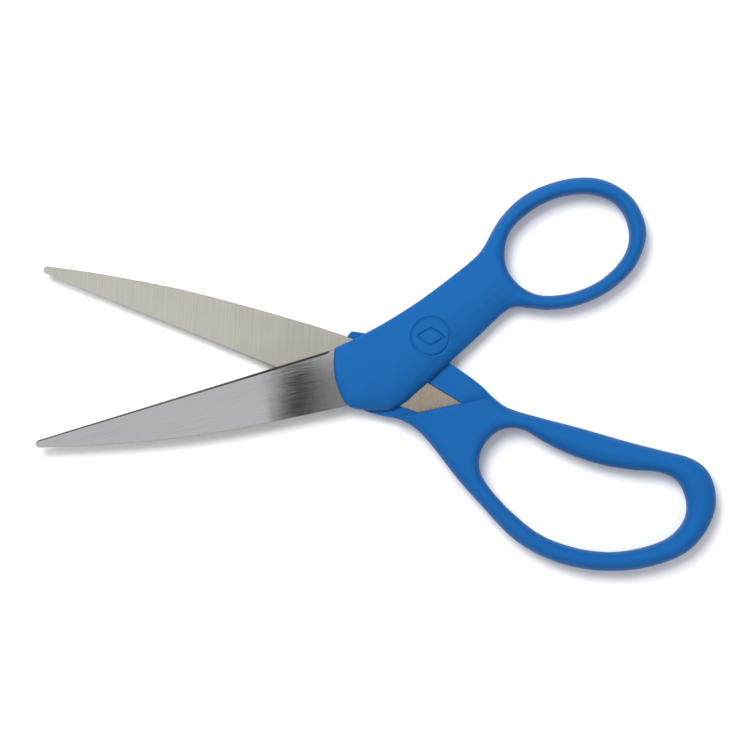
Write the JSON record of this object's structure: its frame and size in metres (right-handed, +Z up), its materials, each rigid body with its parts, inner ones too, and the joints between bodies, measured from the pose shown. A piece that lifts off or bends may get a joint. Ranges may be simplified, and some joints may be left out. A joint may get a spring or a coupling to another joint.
{
  "type": "office scissors",
  "caption": "Office scissors with two stamped steel blades turning on a screw, an oval thumb loop and a long finger loop in blue moulded plastic.",
  "frame": {"origin": "bottom centre of the box around the scissors as they lie flat and open by 30 degrees, on the surface they rest on", "axes": "+X runs from the blade tips to the handles along the line that halves the opening angle, +Y is towards the thumb loop, +Z is up, out of the face with the covered pivot"},
  "size_m": [0.1952, 0.1122, 0.01],
  "materials": {
    "blade_steel": "ground and brushed stainless steel",
    "blue_plastic": "satin moulded plastic",
    "plated_steel": "bright nickel plating"
  },
  "bodies": {
    "finger_half": {"finger_blade": "blade_steel", "finger_handle": "blue_plastic", "flat_washer": "plated_steel"},
    "thumb_half": {"thumb_blade": "blade_steel", "thumb_handle": "blue_plastic", "pivot_screw": "plated_steel", "pivot_nut": "plated_steel", "spring_washer": "plated_steel"}
  },
  "joints": [
    {"name": "pivot", "type": "hinge", "parent": "finger_half", "child": "thumb_half", "pos_m": [-0.00421, -0.00187, 0.005], "axis": [0, 0, 1], "range_deg": [-30, 60]}
  ]
}
